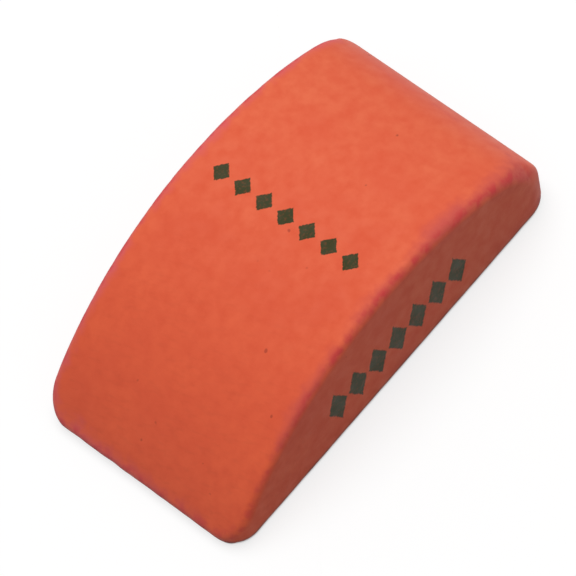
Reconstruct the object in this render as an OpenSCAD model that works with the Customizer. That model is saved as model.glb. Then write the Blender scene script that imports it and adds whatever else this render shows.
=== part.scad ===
// Wedge eraser moulded in one piece: flat base, arched crown, thin nose and round thick end.
// Base centred on the origin, thick end towards +X, crest up +Z.

/* [Body] */
// length over both ends
length = 50; // [46:1:56]
// width across the flat long sides
width = 26.8; // [20:0.2:34]
// height of the crest above the base
height = 14.7; // [13.2:0.1:17]
// distance of the crest from mid length, towards the thick end
crest_shift = 3.2; // [2.2:0.1:5]
// radius of the thick end, seen from the side
end_radius = 9; // [7:0.1:11]

/* [Edges] */
// radius of the thin end's nose, and of the heel under the thick end
nose_radius = 1; // [0.8:0.05:1.4]
// radius of the rolled edge along both long sides, above and below
rim_radius = 0.7; // [0.3:0.05:1.2]
// radius of the upright corners, seen from above
corner_radius = 3.2; // [1.5:0.1:6]

/* [Hidden] */
$fn = 144;
half = length / 2;
// room past the outline for the shapes that trim it
spare = 5;
// each rounding crosses its neighbours this shallowly, in degrees
cross = 10;
soft = cos(cross);

// circles of the side view, as [x, z]: the arch tops out at the crest and meets the nose
nose_c = [nose_radius - half, nose_radius * soft];
reach = crest_shift - nose_c[0];
rise = height - nose_c[1];
arch_radius = (reach * reach + rise * rise - nose_radius * nose_radius) / (2 * (rise - nose_radius * soft));
arch_c = [crest_shift, height - arch_radius];
end_x = half - end_radius;
end_gap = apart(arch_radius, end_radius);
end_c = [end_x, arch_c[1] + sqrt(end_gap * end_gap - pow(end_x - crest_shift, 2))];
heel_z = nose_radius * soft;
heel_gap = apart(end_radius, nose_radius);
heel_c = [end_x + sqrt(heel_gap * heel_gap - pow(end_c[1] - heel_z, 2)), heel_z];
nose_turn = atan2(nose_c[1] - arch_c[1], nose_c[0] - arch_c[0]);
end_turn = atan2(end_c[1] - arch_c[1], end_c[0] - arch_c[0]);
heel_turn = atan2(heel_c[1] - end_c[1], heel_c[0] - end_c[0]);

// distance between the centres of two circles, one in the other, that cross at the shallow angle
function apart(big, small) = sqrt(big * big + small * small - 2 * big * small * soft);

// thin end: round in front and underneath, open upwards to the arch
module nose_view() {
    brow_x = nose_c[0] + nose_radius * cos(nose_turn);
    translate(nose_c)
        circle(nose_radius);
    translate([nose_c[0], -spare])
        square([length, height + 2 * spare]);
    translate([brow_x, nose_c[1]])
        square([length, height + spare]);
}

// thick end: one arc from the base up to the arch
module end_view() {
    brow_x = end_c[0] + end_radius * cos(end_turn);
    translate(end_c)
        circle(end_radius);
    translate([-length, -spare])
        square([length + brow_x, height + 2 * spare]);
}

// heel: takes the corner off under the thick end
module heel_view() {
    brow_z = heel_c[1] + nose_radius * sin(heel_turn);
    translate(heel_c)
        circle(nose_radius);
    translate([-length, -spare])
        square([length + heel_c[0], height + 2 * spare]);
    translate([-length, brow_z])
        square([2 * length, height + spare]);
}

// side view without its arch
module side_view() {
    intersection() {
        nose_view();
        end_view();
        heel_view();
        translate([-length, 0])
            square([2 * length, height + spare]);
    }
}

// half section of the crown, from the arch's centre out to its rolled rims
module crown_section() {
    rim_y = width / 2 - rim_radius * soft;
    translate([0, -rim_y])
        square([arch_radius, 2 * rim_y]);
    translate([0, -rim_y - rim_radius])
        square([arch_radius - rim_radius, 2 * rim_y + 2 * rim_radius]);
    for (side = [-1, 1])
        translate([arch_radius - rim_radius, side * rim_y])
            circle(rim_radius, $fn = 36);
}

// end view of the base, with the long bottom edges rolled
module base_section() {
    rim_y = width / 2 - rim_radius * soft;
    rim_z = rim_radius * soft;
    translate([-rim_y, -spare])
        square([2 * rim_y, height + 2 * spare]);
    translate([-width, rim_z])
        square([2 * width, height + spare]);
    for (side = [-1, 1])
        translate([side * rim_y, rim_z])
            circle(rim_radius, $fn = 36);
}

// plan with the four upright corners rounded
module plan_view() {
    corner_x = half - corner_radius * soft;
    corner_y = width / 2 - corner_radius * soft;
    square([2 * corner_x, 2 * width], center = true);
    square([2 * length, 2 * corner_y], center = true);
    for (x = [-1, 1], y = [-1, 1])
        translate([x * corner_x, y * corner_y])
            circle(corner_radius);
}

module eraser() {
    color("#d8603f")
        intersection() {
            rotate([90, 0, 0])
                linear_extrude(width, center = true)
                    side_view();
            translate([arch_c[0], 0, arch_c[1]])
                rotate([90, 0, 0])
                    rotate_extrude()
                        crown_section();
            translate([-length, 0, 0])
                rotate([90, 0, 90])
                    linear_extrude(2 * length)
                        base_section();
            translate([0, 0, -spare])
                linear_extrude(height + 2 * spare)
                    plan_view();
        }
}

eraser();
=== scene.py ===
import math

import bpy
import numpy as np
from mathutils import Matrix, Vector, noise


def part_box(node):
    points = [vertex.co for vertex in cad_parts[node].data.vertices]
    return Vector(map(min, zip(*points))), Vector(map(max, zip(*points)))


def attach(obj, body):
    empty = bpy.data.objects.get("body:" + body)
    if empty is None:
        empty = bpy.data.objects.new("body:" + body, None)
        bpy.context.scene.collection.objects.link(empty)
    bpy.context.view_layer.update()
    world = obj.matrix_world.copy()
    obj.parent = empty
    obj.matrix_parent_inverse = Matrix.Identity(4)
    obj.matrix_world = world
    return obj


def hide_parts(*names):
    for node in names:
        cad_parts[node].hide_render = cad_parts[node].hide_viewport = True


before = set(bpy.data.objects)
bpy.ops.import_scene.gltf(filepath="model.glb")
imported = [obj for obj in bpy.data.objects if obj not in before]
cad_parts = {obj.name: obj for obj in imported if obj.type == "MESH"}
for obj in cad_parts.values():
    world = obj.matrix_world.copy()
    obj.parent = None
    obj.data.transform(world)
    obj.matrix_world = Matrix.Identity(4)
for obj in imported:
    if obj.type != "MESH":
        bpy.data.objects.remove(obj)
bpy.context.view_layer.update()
mm = 0.001
print("frame loaded:", sorted(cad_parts))


def linear(hexCode):
    # sRGB hex to linear RGBA
    parts = [int(hexCode[k:k + 2], 16) / 255 for k in (1, 3, 5)]
    return [c / 12.92 if c <= 0.04045 else ((c + 0.055) / 1.055) ** 2.4 for c in parts] + [1.0]


# pairs of inputs: what Map Range reads and what it gives
fromRange, toRange = ("From Min", "From Max"), ("To Min", "To Max")


def addNode(tree, kind, inputs=None, **settings):
    # one node with its settings; an input takes a value or a node's output, a pair of inputs takes two
    made = tree.nodes.new("ShaderNode" + kind)
    for name, value in settings.items():
        setattr(made, name, value)
    for names, values in (inputs or {}).items():
        for name, value in zip(names, values) if isinstance(names, tuple) else [(names, values)]:
            if isinstance(value, bpy.types.NodeSocket):
                tree.links.new(value, made.inputs[name])
            else:
                made.inputs[name].default_value = value
    return made


# Block: one solid of rubber. Length, width and height come from the frame, sizes here are mm.
rubberBlock = {
    "crestShift": 3.2,           # crest from mid length, towards the thick end
    "endRadius": 9.0,            # thick end, seen from the side
    "noseRadius": 1.0,           # thin end, and the heel under the thick end
    "noseCorner": 3.2,           # upright corners of the thin end, seen from above
    "endCorner": 1.6,            # those of the thick end under the crown
    "heelCorner": 3.6,           # and at the base
    "rimRadius": 0.8,            # rolled edge round both long sides
    "rimWorn": 1.1,              # the near one is rubbed rounder towards the thick end
    "wornSpan": 0.8,             # share of the length over which it gets rounder
    "wornAbove": 1.0,            # height up to which it stays as moulded
    "wornCorners": (             # rubbed most near the ends of the crown: x, y, extra radius, reach
        (23.2, -12.5, 1.2, 2.2),
        (-22.5, -13.0, 0.2, 3.0),
    ),
    "endFaceGap": 5.0,           # the round end face counts as this far from an edge
    "gridStep": 0.26,            # spacing of the mesh
    "passes": 8,                 # each moves the mesh closer to the rolled form
    "leastSlope": 0.2,           # keeps a pass from overshooting
    "swellSize": 7.0,            # slow unevenness of the moulded faces
    "swellDepth": 0.03,
    "nibbleSize": 1.4,           # worn unevenness along the edges
    "nibbleDepth": 0.1,
    "nibbleReach": 1.6,          # how far from the edge the wear goes
    "nibbleShift": (7, 3, 5),    # keeps the two patterns apart
    "flatBase": 0.3,             # height over which both fade in
}

low, high = (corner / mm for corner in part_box("eraser"))
halfLength, halfWidth, height = high.x, high.y, high.z


def sideArcs(block):
    # circles of the side view as x, z, radius, start and end angle: heel, thick end, arch, nose
    small, large = block["noseRadius"], block["endRadius"]
    noseX = small - halfLength
    reach, rise = block["crestShift"] - noseX, height - small
    arch = (reach ** 2 + rise ** 2 - small ** 2) / (2 * (rise - small))
    archX, archZ = block["crestShift"], height - arch
    endX = halfLength - large
    endZ = archZ + math.sqrt((arch - large) ** 2 - (endX - archX) ** 2)
    heelX = endX + math.sqrt((large - small) ** 2 - (endZ - small) ** 2)
    heelTurn = math.atan2(small - endZ, heelX - endX)
    endTurn = math.atan2(endZ - archZ, endX - archX)
    noseTurn = math.atan2(small - archZ, noseX - archX)
    return [
        (heelX, small, small, -math.pi / 2, heelTurn),
        (endX, endZ, large, heelTurn, endTurn),
        (archX, archZ, arch, endTurn, noseTurn),
        (noseX, small, small, noseTurn, 1.5 * math.pi),
    ]


def sideDistance(x, z, arcs, deepInside=-1e3, tiny=1e-6):
    # how far a point is outside the side view, and how much the outline leans along x there
    onBase = (x > arcs[-1][0]) & (x < arcs[0][0])
    gap, lean = np.where(onBase, -z, deepInside), np.zeros_like(x)
    for centreX, centreZ, radius, start, end in arcs:
        away = np.hypot(x - centreX, z - centreZ)
        turn = (np.arctan2(z - centreZ, x - centreX) - start) % (2 * math.pi)
        nearer = (turn <= end - start) & (away - radius > gap)
        gap = np.where(nearer, away - radius, gap)
        lean = np.where(nearer, (x - centreX) / np.maximum(away, tiny), lean)
    return gap, lean


def planDistance(x, y, radius):
    # the same for the plan, an oblong with round corners
    overX, overY = np.abs(x) - halfLength + radius, np.abs(y) - halfWidth + radius
    outX, outY = np.maximum(overX, 0), np.maximum(overY, 0)
    away = np.hypot(outX, outY)
    gap = away + np.minimum(np.maximum(overX, overY), 0) - radius
    return gap, np.sign(x) * outX / np.maximum(away, radius)


def rimAt(points, block):
    # radius of the rolled edge, larger along the near side of the crown
    x, y, z = points.T
    span = block["wornSpan"] * halfLength
    extra = np.interp(x, (-span, span), (0, block["rimWorn"] - block["rimRadius"]))
    for cornerX, cornerY, more, reach in block["wornCorners"]:
        extra = extra + more * np.exp(-((x - cornerX) ** 2 + (y - cornerY) ** 2) / reach ** 2)
    return block["rimRadius"] + extra * np.clip(z - block["wornAbove"], 0, 1) * (y < 0)


def softDistance(points, block, arcs):
    # how far a point is outside the block, and from the rolled edge in which side view and plan meet
    x, y, z = points.T
    side, sideLean = sideDistance(x, z, arcs)
    upEnd = np.clip(z / block["endRadius"], 0, 1)
    thick = block["heelCorner"] + (block["endCorner"] - block["heelCorner"]) * upEnd
    plan, planLean = planDistance(x, y, np.where(x > 0, thick, block["noseCorner"]))
    together = sideLean * planLean    # 1 where the two run together and leave no edge
    rim = rimAt(points, block) * (1 - together)
    rolled = np.hypot(np.maximum(side + rim, 0), np.maximum(plan + rim, 0))
    endFace = block["endFaceGap"] * np.maximum(together, 0) * (x > 0)
    return np.minimum(np.maximum(side, plan), -rim) + rolled, endFace - np.minimum(side, plan)


def slopeOf(points, block, arcs, step=0.01):
    # direction in which the distance grows
    slope = np.empty_like(points)
    for axis in range(3):
        shift = np.zeros(3)
        shift[axis] = step
        ahead, behind = (softDistance(points + s * shift, block, arcs)[0] for s in (1, -1))
        slope[:, axis] = (ahead - behind) / (2 * step)
    return slope


def evenMesh(block):
    # copy of the CAD mesh on an even grid
    piece = bpy.data.objects.new("eraserBody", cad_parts["eraser"].data.copy())
    bpy.context.scene.collection.objects.link(piece)
    grid = piece.modifiers.new("evenGrid", "REMESH")
    grid.mode = "VOXEL"
    grid.voxel_size = block["gridStep"] * mm
    shaped = piece.evaluated_get(bpy.context.evaluated_depsgraph_get())
    piece.data = bpy.data.meshes.new_from_object(shaped)
    piece.modifiers.clear()
    piece.data.name = "eraserBody"
    piece.data.materials.clear()
    return piece


def softNoise(points, size, shift=(0, 0, 0)):
    # from 0 to 1
    values = [noise.noise(Vector(p) / size + Vector(shift)) for p in points]
    return np.clip(0.5 + 0.5 * np.array(values), 0, 1)


def wearDown(points, edgeGap, block, arcs):
    # uneven faces and nibbled edges, always inwards, over a flat base
    edge = np.clip(1 - edgeGap / block["nibbleReach"], 0, 1) ** 2
    swell = block["swellDepth"] * softNoise(points, block["swellSize"])
    nibble = block["nibbleDepth"] * edge * softNoise(points, block["nibbleSize"], block["nibbleShift"])
    slope = slopeOf(points, block, arcs)
    slope /= np.linalg.norm(slope, axis=1)[:, None]
    offBase = np.clip(points[:, 2] / block["flatBase"], 0, 1)
    worn = points - ((swell + nibble) * offBase)[:, None] * slope
    return np.clip(worn, np.array(low), np.array(high))


def buildBlock(block):
    piece = evenMesh(block)
    mesh = piece.data
    flat = np.empty(3 * len(mesh.vertices))
    mesh.vertices.foreach_get("co", flat)
    points = flat.reshape(-1, 3) / mm
    arcs = sideArcs(block)
    for count in range(block["passes"]):
        slope = slopeOf(points, block, arcs)
        gap = softDistance(points, block, arcs)[0]
        points -= (gap / np.maximum((slope ** 2).sum(1), block["leastSlope"]))[:, None] * slope
    edgeGap = softDistance(points, block, arcs)[1]
    points = wearDown(points, edgeGap, block, arcs)

    mesh.vertices.foreach_set("co", (points * mm).ravel())
    fromEdge = mesh.attributes.new("fromEdge", "FLOAT", "POINT")    # counted in rim radii
    fromEdge.data.foreach_set("value", edgeGap / rimAt(points, block))
    mesh.shade_smooth()
    mesh.update()
    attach(piece, "root")
    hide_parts("eraser")
    print("block:", len(mesh.vertices), "points,", len(mesh.polygons), "faces")
    return piece


# Vulcanised rubber filled with chalk, moulded and tumbled: a dense matt orange, slightly cloudy,
# deeper at the thin end that is rubbed clean, paler at the thick end, partly chalk and partly painted
# sheen, with painted light where that end turns over, sparse grit, redder edges where the skin is gone,
# painted shade on the near edges and a painted contact shadow along the base.
# Sizes are mm, a share is how much a coat covers, and a noise range is where its pattern sets in.
rubberLook = {
    "rubbed": "#e65e38",           # thin end
    "chalkAndSheen": "#e36843",           # thick end, paler partly from chalk and partly as painted sheen
    "cloud": "#dc5535",            # deeper patches, large and small
    "cloudSize": 7.0,
    "cloudDetail": 4.0,
    "cloudShare": 0.8,
    "mottleSize": 1.3,
    "mottleDetail": 3.0,
    "mottleShare": 0.7,
    "patchNoise": (0.35, 0.75),
    "endLight": "#f06c58",            # painted light: paler where the thick end turns over and gets less light
    "endLightReach": 4.5,
    "endLightShare": 0.55,
    "streakSize": 0.5,             # width of the rubbing marks on the thin end
    "streakLength": 2.2,
    "streakTurn": 20.0,            # degrees from straight across
    "streakDetail": 2.0,
    "streakNoise": (0.5, 0.8),
    "streakShare": 0.13,
    "streakFade": (0.15, 1.0),     # strength from mid length to the thin end
    "edge": "#c85046",             # redder skin rubbed thin along the near edges, painted darker there as shade where the rim turns to the shaded side
    "farEdge": "#dc5e64",          # and less so along the far ones
    "edgeReach": (0.3, 2.6),       # rim radii from the edge, full and faded out
    "edgeShare": 0.9,
    "edgeSway": (1.0, -0.4),       # rim radii by which the clouds narrow or widen it
    "swayNoise": (0.3, 0.7),
    "edgeFray": (0.5, -0.2),       # by which the mottling does
    "frayNoise": (0.35, 0.65),
    "noseNarrow": (0.4, 1.0),      # by which it narrows to the thin end, on the far and the near side
    "flankGap": (0.25, 0.05),      # depth under the flat sides over which it weakens
    "flankShare": 0.3,
    "raw": "#cf3b3c",              # rubbed through, in patches on the edges
    "rawReach": (0.4, 0.9),        # rim radii
    "rawNoise": (0.45, 0.6),
    "rawShare": 0.8,
    "noseRaw": -0.6,               # fewer at the thin end
    "grit": "#96301f",             # grit, and the dirt in the rubbing marks
    "gritSize": 2.2,               # spacing of the grit
    "gritWobble": 0.5,             # by which the mottling bends its outline
    "gritChance": 0.6,             # share of places without a grain
    "gritRadius": 0.13,            # largest grain and its soft edge, in spacings
    "gritEdge": 0.05,
    "gritShare": 0.6,
    "baseShade": "#5c2c24",            # painted contact shadow: a dark line along the base
    "baseShadeHeight": (0.4, 1.3),
    "baseShadeShare": 0.9,
    "baseShadeNoise": (0.35, 0.6),
    "baseShadeThin": 0.7,              # strength where it is thinnest
    "ink": "#122e06",              # flat dark green printing ink
    "inkDepth": 0.5,               # how far in from the side's face ink is still on it
    "inkEdge": (0.95, 1.05),       # soft edge of a mark, in half sizes
    "inkRagged": (-0.06, 0.08),    # and how uneven it is
    "raggedNoise": (0.3, 0.7),
    "inkShare": (0.97, 0.88),      # thick and thin ink
    "inkNoise": (0.5, 0.7),
    "grainSize": 0.3,              # real grain is about 0.05 mm, drawn coarser so that it shows
    "grainDetail": 3.0,
    "grainDepth": 0.02,
    "grainStrength": 0.6,
    "roughness": (0.6, 0.78),
    "roughNoise": (0.3, 0.7),
    "ior": 1.52,                   # usual for rubber
    "specular": 0.25,              # chalk at the surface breaks up the gloss
    "sheen": 0.14,                 # and pales it at a low angle
    "sheenSpread": 0.5,
}

# Printed marks: a row of lozenges in one ink across the crown, and one along the side. Sizes in mm.
crownPrint = {"run": "Y", "across": "X", "centre": (0.6, 2.8), "pitch": 2.9, "count": 7, "half": (1.1, 1.2)}
sidePrint = {"run": "X", "across": "Z", "centre": (1.5, 5.8), "pitch": 3.1, "count": 7, "half": (1.4, 2.6)}


def rubberGuides(tree, look):
    # place on the block in mm, noises, and the share of the way to the thin end and to the near side
    where = addNode(tree, "TexCoord").outputs["Object"]
    point = addNode(tree, "VectorMath", {0: where, "Scale": 1 / mm}, operation="SCALE").outputs[0]
    place = addNode(tree, "SeparateXYZ", {0: point}).outputs
    at = {"point": point, "X": place["X"], "Y": place["Y"], "Z": place["Z"]}
    for name in ("cloud", "mottle", "grain"):
        scale, detail = 1 / look[name + "Size"], look[name + "Detail"]
        at[name] = addNode(tree, "TexNoise", {"Vector": point, "Scale": scale, "Detail": detail}).outputs
    for name, axis, ends in (("toNose", "X", (0, -halfLength)), ("toNear", "Y", (halfWidth, -halfWidth))):
        at[name] = addNode(tree, "MapRange", {"Value": at[axis], fromRange: ends}).outputs[0]
    return at


def bodyCoats(tree, look, at):
    # paler towards the thick end (partly painted sheen), deeper in patches, and painted light where that
    # end turns over
    # partly painted sheen: paler towards the thick end, whose faces are seen at a low angle
    toEnd = addNode(
        tree, "MapRange", {"Value": at["X"], fromRange: (-halfLength, halfLength)},
        interpolation_type="SMOOTHSTEP")
    coats = [(toEnd.outputs[0], linear(look["chalkAndSheen"]))]
    for name in ("cloud", "mottle"):
        share = (0, look[name + "Share"])
        deep = addNode(
            tree, "MapRange", {"Value": at[name]["Fac"], fromRange: look["patchNoise"], toRange: share})
        coats.append((deep.outputs[0], linear(look["cloud"])))
    # painted light: paler where the thick end turns over and gets less light
    turnOver = (halfLength - look["endLightReach"], halfLength)
    paintedEndLight = addNode(
        tree, "MapRange", {"Value": at["X"], fromRange: turnOver, toRange: (0, look["endLightShare"])},
        interpolation_type="SMOOTHSTEP")
    return coats + [(paintedEndLight.outputs[0], linear(look["endLight"]))]


def streakCoats(tree, look, at):
    # rubbing marks across the thin end
    turn = (0, 0, math.radians(look["streakTurn"]))
    size = (look["streakSize"], look["streakLength"], look["streakSize"])
    stretched = addNode(
        tree, "Mapping", {"Vector": at["point"], "Rotation": turn, "Scale": size}, vector_type="TEXTURE")
    streak = addNode(
        tree, "TexNoise", {"Vector": stretched.outputs[0], "Scale": 1.0, "Detail": look["streakDetail"]})
    marks = addNode(
        tree, "MapRange",
        {"Value": streak.outputs["Fac"], fromRange: look["streakNoise"], toRange: (0, look["streakShare"])})
    fade = addNode(tree, "MapRange", {"Value": at["toNose"], toRange: look["streakFade"]})
    marked = addNode(tree, "Math", {0: marks.outputs[0], 1: fade.outputs[0]}, operation="MULTIPLY")
    return [(marked.outputs[0], linear(look["grit"]))]


def edgeCoats(tree, look, at):
    # thin skin in a band of uneven width along the edges, weaker on the flat sides; on the near edges its
    # darker colour is partly painted shade
    fromEdge = addNode(tree, "Attribute", attribute_name="fromEdge").outputs["Fac"]
    cloud, mottle = at["cloud"]["Fac"], at["mottle"]["Fac"]
    sway = addNode(
        tree, "MapRange", {"Value": cloud, fromRange: look["swayNoise"], toRange: look["edgeSway"]})
    fray = addNode(
        tree, "MapRange", {"Value": mottle, fromRange: look["frayNoise"], toRange: look["edgeFray"]})
    nearer = addNode(tree, "MapRange", {"Value": at["toNear"], toRange: look["noseNarrow"]})
    narrow = addNode(tree, "Math", {0: at["toNose"], 1: nearer.outputs[0]}, operation="MULTIPLY")
    shifted = fromEdge
    for shift in (sway, fray, narrow):
        shifted = addNode(tree, "Math", {0: shifted, 1: shift.outputs[0]}, operation="ADD").outputs[0]
    band = addNode(
        tree, "MapRange", {"Value": shifted, fromRange: look["edgeReach"], toRange: (look["edgeShare"], 0)},
        interpolation_type="SMOOTHSTEP")
    sideways = addNode(tree, "Math", {0: at["Y"]}, operation="ABSOLUTE").outputs[0]
    flank = [halfWidth - gap for gap in look["flankGap"]]
    offFlank = addNode(
        tree, "MapRange", {"Value": sideways, fromRange: flank, toRange: (1, look["flankShare"])})
    thin = addNode(tree, "Math", {0: band.outputs[0], 1: offFlank.outputs[0]}, operation="MULTIPLY")
    # near edges darker than far ones: redder skin and painted shade where the rim turns to the shaded side
    skin = addNode(
        tree, "Mix", {0: at["toNear"], 6: linear(look["farEdge"]), 7: linear(look["edge"])},
        data_type="RGBA")

    # raw patches on the edges themselves
    onEdge = addNode(tree, "MapRange", {"Value": fromEdge, fromRange: look["rawReach"], toRange: (1, 0)})
    patchy = addNode(
        tree, "MapRange", {"Value": mottle, fromRange: look["rawNoise"], toRange: (0, look["rawShare"])})
    fewer = addNode(
        tree, "Math", {0: narrow.outputs[0], 1: look["noseRaw"], 2: 1}, operation="MULTIPLY_ADD")
    bare = onEdge.outputs[0]
    for share in (patchy, fewer):
        bare = addNode(tree, "Math", {0: bare, 1: share.outputs[0]}, operation="MULTIPLY").outputs[0]
    return [(thin.outputs[0], skin.outputs[2]), (bare, linear(look["raw"]))]


def gritCoats(tree, look, at):
    # sparse grit of several sizes
    wobble = addNode(
        tree, "VectorMath", {0: at["mottle"]["Color"], "Scale": look["gritWobble"]}, operation="SCALE")
    shaken = addNode(tree, "VectorMath", {0: at["point"], 1: wobble.outputs[0]}, operation="ADD")
    grit = addNode(tree, "TexVoronoi", {"Vector": shaken.outputs[0], "Scale": 1 / look["gritSize"]})
    chance = addNode(tree, "SeparateColor", {0: grit.outputs["Color"]}).outputs[0]
    size = addNode(
        tree, "MapRange",
        {"Value": chance, fromRange: (look["gritChance"], 1), toRange: (0, look["gritRadius"])})
    inside = addNode(tree, "Math", {0: size.outputs[0], 1: grit.outputs["Distance"]}, operation="SUBTRACT")
    speck = addNode(
        tree, "MapRange",
        {"Value": inside.outputs[0], fromRange: (0, look["gritEdge"]), toRange: (0, look["gritShare"])})
    return [(speck.outputs[0], linear(look["grit"]))]


def baseShadeCoats(tree, look, at):
    # painted contact shadow: a dark line where it meets the desk
    nearBase = addNode(
        tree, "MapRange",
        {"Value": at["Z"], fromRange: look["baseShadeHeight"], toRange: (look["baseShadeShare"], 0)},
        interpolation_type="SMOOTHSTEP")
    unevenShade = addNode(
        tree, "MapRange",
        {"Value": at["mottle"]["Fac"], fromRange: look["baseShadeNoise"], toRange: (look["baseShadeThin"], 1)})
    paintedBaseShade = addNode(tree, "Math", {0: nearBase.outputs[0], 1: unevenShade.outputs[0]}, operation="MULTIPLY")
    return [(paintedBaseShade.outputs[0], linear(look["baseShade"]))]


def printMask(tree, at, mark, onFace, ragged, softEdge):
    # 1 inside the lozenges of one row, 0 elsewhere
    along = addNode(tree, "Math", {0: at[mark["run"]], 1: mark["centre"][0]}, operation="SUBTRACT")
    across = addNode(tree, "Math", {0: at[mark["across"]], 1: mark["centre"][1]}, operation="SUBTRACT")
    half = mark["pitch"] / 2
    local = addNode(tree, "Math", {0: along.outputs[0], 1: half, 2: -half}, operation="WRAP")
    total = ragged
    for offset, size in ((local, mark["half"][0]), (across, mark["half"][1])):
        width = addNode(tree, "Math", {0: offset.outputs[0]}, operation="ABSOLUTE").outputs[0]
        added = addNode(tree, "Math", {0: width, 1: 1 / size, 2: total}, operation="MULTIPLY_ADD")
        total = added.outputs[0]
    inside = addNode(tree, "MapRange", {"Value": total, fromRange: softEdge, toRange: (1, 0)})
    length = addNode(tree, "Math", {0: along.outputs[0]}, operation="ABSOLUTE")
    inRow = addNode(tree, "Math", {0: length.outputs[0], 1: half * mark["count"]}, operation="LESS_THAN")
    mask = inside.outputs[0]
    for gate in (inRow, onFace):
        mask = addNode(tree, "Math", {0: mask, 1: gate.outputs[0]}, operation="MULTIPLY").outputs[0]
    return mask


def inkCoats(tree, look, at):
    # ink over the rubber, thin in places
    grain = at["grain"]["Fac"]
    ragged = addNode(
        tree, "MapRange", {"Value": grain, fromRange: look["raggedNoise"], toRange: look["inkRagged"]})
    onCrown = addNode(tree, "Math", {0: at["Z"], 1: height / 2}, operation="GREATER_THAN")
    onSide = addNode(tree, "Math", {0: at["Y"], 1: look["inkDepth"] - halfWidth}, operation="LESS_THAN")
    crownRow, sideRow = (
        printMask(tree, at, mark, face, ragged.outputs[0], look["inkEdge"])
        for mark, face in ((crownPrint, onCrown), (sidePrint, onSide)))
    rows = addNode(tree, "Math", {0: crownRow, 1: sideRow}, operation="MAXIMUM")
    dense = addNode(
        tree, "MapRange", {"Value": grain, fromRange: look["inkNoise"], toRange: look["inkShare"]})
    cover = addNode(tree, "Math", {0: rows.outputs[0], 1: dense.outputs[0]}, operation="MULTIPLY")
    return [(cover.outputs[0], linear(look["ink"]))]


def mouldedRubber(look):
    material = bpy.data.materials.new("vulcanisedRubberOrange")
    material.use_nodes = True
    tree = material.node_tree
    shader = tree.nodes["Principled BSDF"]
    at = rubberGuides(tree, look)
    colour = linear(look["rubbed"])
    for coats in (bodyCoats, streakCoats, edgeCoats, gritCoats, baseShadeCoats, inkCoats):    # rubber first
        for share, coat in coats(tree, look, at):
            colour = addNode(tree, "Mix", {0: share, 6: colour, 7: coat}, data_type="RGBA").outputs[2]
    tree.links.new(colour, shader.inputs["Base Color"])
    rough = addNode(
        tree, "MapRange",
        {"Value": at["mottle"]["Fac"], fromRange: look["roughNoise"], toRange: look["roughness"]})
    tree.links.new(rough.outputs[0], shader.inputs["Roughness"])
    strength, depth = look["grainStrength"], look["grainDepth"] * mm
    bump = addNode(tree, "Bump", {"Height": at["grain"]["Fac"], "Strength": strength, "Distance": depth})
    tree.links.new(bump.outputs[0], shader.inputs["Normal"])
    shader.inputs["IOR"].default_value = look["ior"]
    shader.inputs["Specular IOR Level"].default_value = look["specular"]
    shader.inputs["Sheen Weight"].default_value = look["sheen"]
    shader.inputs["Sheen Roughness"].default_value = look["sheenSpread"]
    print("rubber:", len(tree.nodes), "nodes")
    return material


# Studio: a pale floor seen as white with painted shade along the contact, grey sky light and one softbox
# behind and above.
studio = {
    "white": "#ffffff",
    "skyLevel": 0.4,
    "floorColour": "#8c8c8c",
    "floorGlow": 0.75,                    # only what the camera and reflections see
    "floorHalf": 3.0,                     # m, from the middle to each side
    "contactShadeReach": 0.25,                   # mm, how far the painted contact shade on the floor spreads
    "contactShadeSamples": 8,
    "boxDirection": (0.2, 0.13, 0.97),    # towards the thick end and the far side
    "boxDistance": 0.6,                   # m
    "boxSize": 0.5,
    "boxPower": 2.52,                     # W
}


def seenShare(tree):
    # 1 for what the camera or a reflection sees, 0 for light that falls on the object
    path = addNode(tree, "LightPath").outputs
    seen = path["Is Camera Ray"]
    for ray in ("Is Glossy Ray", "Is Transmission Ray"):
        seen = addNode(tree, "Math", {0: seen, 1: path[ray]}, operation="MAXIMUM").outputs[0]
    return seen


def paintedBoard(look):
    # board rolled with flat paint: dead matt, so that it takes a soft shadow and shows no gloss;
    # its glow carries painted shade along the line of contact
    material = bpy.data.materials.new("paintedBoardMatt")
    material.use_nodes = True
    tree = material.node_tree
    shader = tree.nodes["Principled BSDF"]
    shader.inputs["Base Color"].default_value = linear(look["floorColour"])
    shader.inputs["Roughness"].default_value = 1.0
    shader.inputs["Specular IOR Level"].default_value = 0.0
    shader.inputs["Emission Color"].default_value = linear(look["white"])
    reach, samples = look["contactShadeReach"] * mm, look["contactShadeSamples"]
    # painted shade: the floor's glow dims near the block, a dark line along the contact
    contactShade = addNode(tree, "AmbientOcclusion", {"Distance": reach}, samples=samples)
    glow = look["floorGlow"]
    for share in (seenShare(tree), contactShade.outputs["AO"]):
        glow = addNode(tree, "Math", {0: share, 1: glow}, operation="MULTIPLY").outputs[0]
    tree.links.new(glow, shader.inputs["Emission Strength"])
    return material


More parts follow.
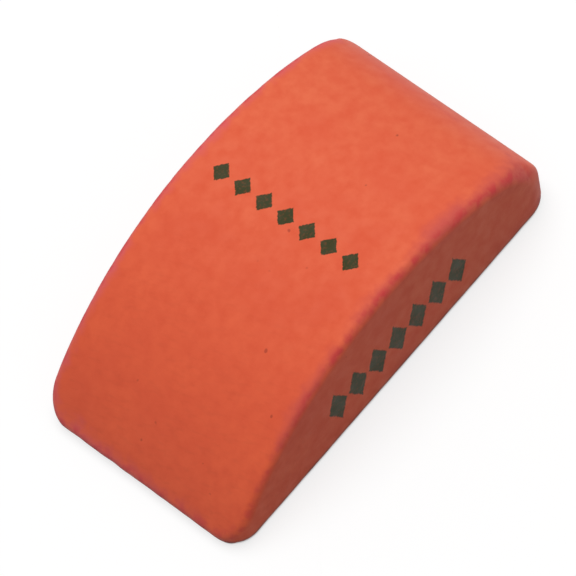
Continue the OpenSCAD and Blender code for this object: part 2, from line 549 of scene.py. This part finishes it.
def buildStudio(look):
    world = bpy.data.worlds.new("studioWorld")
    bpy.context.scene.world = world
    world.use_nodes = True
    tree = world.node_tree
    dim = look["skyLevel"]
    level = addNode(tree, "Math", {0: seenShare(tree), 1: 1 - dim, 2: dim}, operation="MULTIPLY_ADD")
    sky = tree.nodes["Background"]
    sky.inputs["Color"].default_value = linear(look["white"])
    tree.links.new(level.outputs[0], sky.inputs["Strength"])

    mesh = bpy.data.meshes.new("floor")
    half = look["floorHalf"]
    corners = [(half * x, half * y, 0) for x, y in ((-1, -1), (1, -1), (1, 1), (-1, 1))]
    mesh.from_pydata(corners, [], [(0, 1, 2, 3)])
    mesh.materials.append(paintedBoard(look))
    floor = bpy.data.objects.new("floor", mesh)
    bpy.context.scene.collection.objects.link(floor)

    lamp = bpy.data.lights.new("softbox", "AREA")
    lamp.shape = "DISK"
    lamp.size = look["boxSize"]
    lamp.energy = look["boxPower"]
    softbox = bpy.data.objects.new("softbox", lamp)
    towards = Vector(look["boxDirection"]).normalized()
    softbox.location = towards * look["boxDistance"]
    softbox.rotation_euler = towards.to_track_quat("Z", "Y").to_euler()
    bpy.context.scene.collection.objects.link(softbox)
    print("studio: floor, sky and softbox")


# Camera: a long lens from a distance, looking down on the thin end, for an image of 576 x 576.
photoCamera = {
    "azimuth": -27.643,     # degrees
    "elevation": 61.403,
    "roll": -24.0,
    "distance": 675.0,      # mm, from a point over the middle of the base
    "targetHeight": 5.0,
    "across": 0.275,        # mm, the point's place in the frame, right and up of the middle
    "upward": 0.545,
    "lens": 417.5,
    "sensor": 36.0,
    "clipStart": 50.0,
}


def buildCamera(shot):
    azimuth, elevation, roll = (math.radians(shot[k]) for k in ("azimuth", "elevation", "roll"))
    flat = math.cos(elevation)
    back = Vector((math.sin(azimuth) * flat, -math.cos(azimuth) * flat, math.sin(elevation)))
    level = Vector((math.cos(azimuth), math.sin(azimuth), 0))
    upright = back.cross(level)
    right = math.cos(roll) * level + math.sin(roll) * upright
    up = back.cross(right)
    place = Vector((0, 0, shot["targetHeight"])) + shot["distance"] * back
    place -= shot["across"] * right + shot["upward"] * up
    data = bpy.data.cameras.new("photoCamera")
    data.lens = shot["lens"]
    data.sensor_width = shot["sensor"]
    data.clip_start = shot["clipStart"] * mm
    camera = bpy.data.objects.new("photoCamera", data)
    turned = Matrix((right, up, back)).transposed().to_4x4()
    camera.matrix_world = Matrix.Translation(place * mm) @ turned
    bpy.context.scene.collection.objects.link(camera)
    bpy.context.scene.camera = camera
    print("camera: lens", shot["lens"], "mm from", shot["distance"], "mm")


buildCamera(photoCamera)
buildStudio(studio)
eraserBody = buildBlock(rubberBlock)
eraserBody.data.materials.append(mouldedRubber(rubberLook))
bpy.context.scene.view_settings.view_transform = "Standard"
